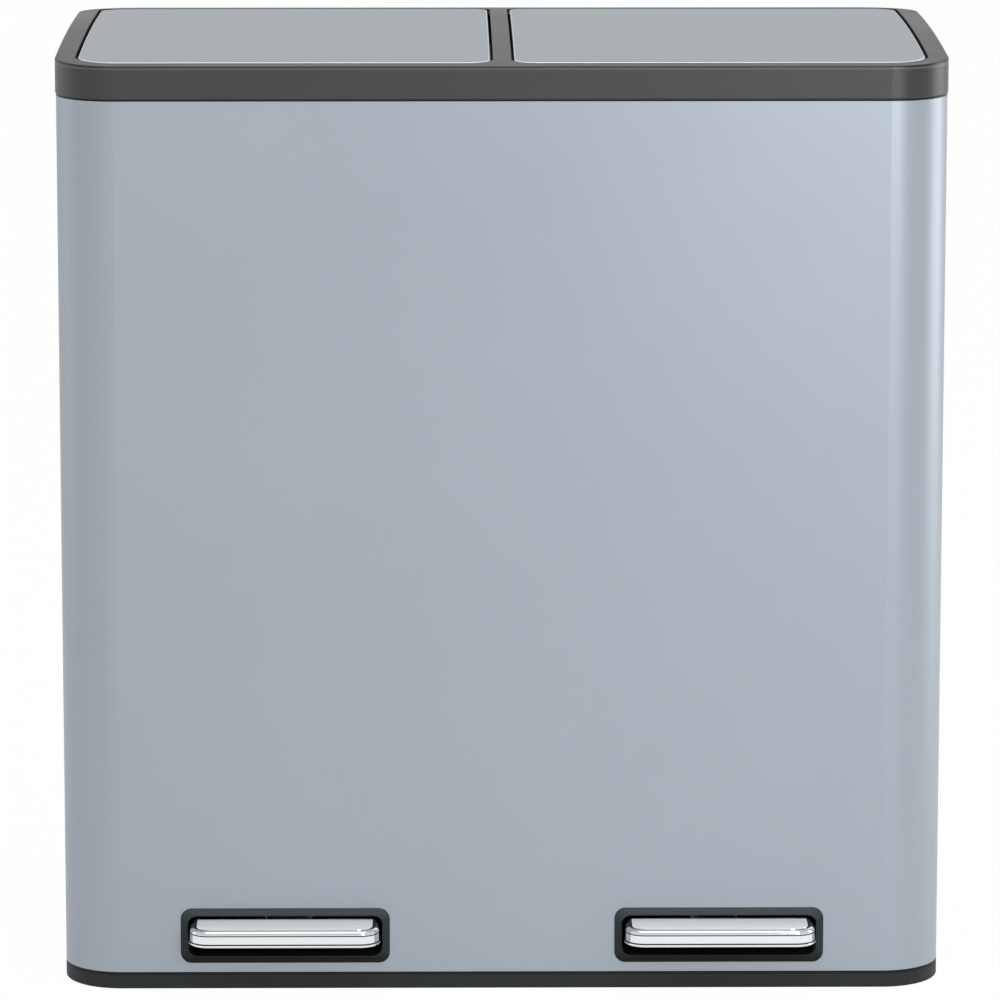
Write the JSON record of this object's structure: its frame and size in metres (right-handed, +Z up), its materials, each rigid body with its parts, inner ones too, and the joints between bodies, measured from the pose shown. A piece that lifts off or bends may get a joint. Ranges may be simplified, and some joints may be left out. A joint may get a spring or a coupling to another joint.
{
  "type": "double recycling bin",
  "caption": "Tall free-standing metal bin with side-by-side compartments, each with a foot pedal, a hinged lid and a lift-out inner bucket.",
  "frame": {"origin": "middle of the footprint, on the floor, between the pedals' fronts and the rear handle's face", "axes": "+Z up, -Y towards the pedals at the front, +X to the right for someone facing the front"},
  "size_m": [0.59, 0.374, 0.6275],
  "materials": {
    "body_paint": "satin silver-grey lacquer",
    "lid_paint": "satin silver-grey lacquer",
    "frame_plastic": "fine matt dark grey",
    "dark_plastic": "matt near-black",
    "bucket_plastic": "matt black-grey",
    "chrome": "bright chrome",
    "bright_steel": "zinc-plated",
    "rubber": "matt black"
  },
  "bodies": {
    "bin_body": {"outer_shell": "body_paint", "base_tray": "dark_plastic", "rubber_feet": "rubber", "top_frame": "frame_plastic", "lid_bumpers": "rubber", "rear_handle": "dark_plastic", "frame_screws": "bright_steel", "base_screws": "bright_steel", "pedal_bezel_left": "dark_plastic", "pedal_bracket_left": "bright_steel", "bracket_screws_left": "bright_steel", "pedal_axle_left": "bright_steel", "rod_guides_left": "dark_plastic", "damper_cylinder_left": "dark_plastic", "hinge_pins_left": "bright_steel", "pedal_bezel_right": "dark_plastic", "pedal_bracket_right": "bright_steel", "bracket_screws_right": "bright_steel", "pedal_axle_right": "bright_steel", "rod_guides_right": "dark_plastic", "damper_cylinder_right": "dark_plastic", "hinge_pins_right": "bright_steel"},
    "lid_left": {"lid_panel_left": "lid_paint", "lid_liner_left": "dark_plastic", "lid_lug_left": "dark_plastic", "lug_screws_left": "bright_steel"},
    "push_rod_left": {"push_rod_left": "bright_steel", "rod_foot_left": "dark_plastic", "damper_piston_left": "bright_steel", "damper_link_left": "dark_plastic"},
    "pedal_left": {"pedal_pad_left": "chrome", "pedal_lever_left": "bright_steel", "pad_screws_left": "bright_steel"},
    "bucket_left": {"bucket_left": "bucket_plastic"},
    "bail_left": {"bucket_handle_left": "bright_steel", "bucket_grip_left": "dark_plastic"},
    "lid_right": {"lid_panel_right": "lid_paint", "lid_liner_right": "dark_plastic", "lid_lug_right": "dark_plastic", "lug_screws_right": "bright_steel"},
    "push_rod_right": {"push_rod_right": "bright_steel", "rod_foot_right": "dark_plastic", "damper_piston_right": "bright_steel", "damper_link_right": "dark_plastic"},
    "pedal_right": {"pedal_pad_right": "chrome", "pedal_lever_right": "bright_steel", "pad_screws_right": "bright_steel"},
    "bucket_right": {"bucket_right": "bucket_plastic"},
    "bail_right": {"bucket_handle_right": "bright_steel", "bucket_grip_right": "dark_plastic"}
  },
  "joints": [
    {"name": "lid_hinge_left", "type": "hinge", "parent": "bin_body", "child": "lid_left", "pos_m": [-0.14375, 0.1665, 0.6205], "axis": [-1, 0, 0], "range_deg": [0, 80]},
    {"name": "pedal_hinge_left", "type": "hinge", "parent": "bin_body", "child": "pedal_left", "pos_m": [-0.14525, -0.06635, 0.03], "axis": [1, 0, 0], "range_deg": [0, 7.5]},
    {"name": "push_rod_slide_left", "type": "slide", "parent": "bin_body", "child": "push_rod_left", "axis": [0, 0, 1], "range_m": [0, 0.0283]},
    {"name": "bucket_lift_left", "type": "slide", "parent": "bin_body", "child": "bucket_left", "axis": [0, 0, 1], "range_m": [0, 0.004]},
    {"name": "bail_swing_left", "type": "hinge", "parent": "bucket_left", "child": "bail_left", "pos_m": [-0.14375, -0.0005, 0.5955], "axis": [1, 0, 0], "range_deg": [-80, 80]},
    {"name": "lid_hinge_right", "type": "hinge", "parent": "bin_body", "child": "lid_right", "pos_m": [0.14375, 0.1665, 0.6205], "axis": [-1, 0, 0], "range_deg": [0, 80]},
    {"name": "pedal_hinge_right", "type": "hinge", "parent": "bin_body", "child": "pedal_right", "pos_m": [0.14525, -0.06635, 0.03], "axis": [1, 0, 0], "range_deg": [0, 7.5]},
    {"name": "push_rod_slide_right", "type": "slide", "parent": "bin_body", "child": "push_rod_right", "axis": [0, 0, 1], "range_m": [0, 0.0283]},
    {"name": "bucket_lift_right", "type": "slide", "parent": "bin_body", "child": "bucket_right", "axis": [0, 0, 1], "range_m": [0, 0.004]},
    {"name": "bail_swing_right", "type": "hinge", "parent": "bucket_right", "child": "bail_right", "pos_m": [0.14375, -0.0005, 0.5955], "axis": [1, 0, 0], "range_deg": [-80, 80]}
  ],
  "couplings": [
    {"joint": "pedal_hinge_left", "follows": "lid_hinge_left", "ratio": 0.09375},
    {"joint": "push_rod_slide_left", "follows": "lid_hinge_left", "m_per_rad": 0.020256},
    {"joint": "pedal_hinge_right", "follows": "lid_hinge_right", "ratio": 0.09375},
    {"joint": "push_rod_slide_right", "follows": "lid_hinge_right", "m_per_rad": 0.020256}
  ]
}
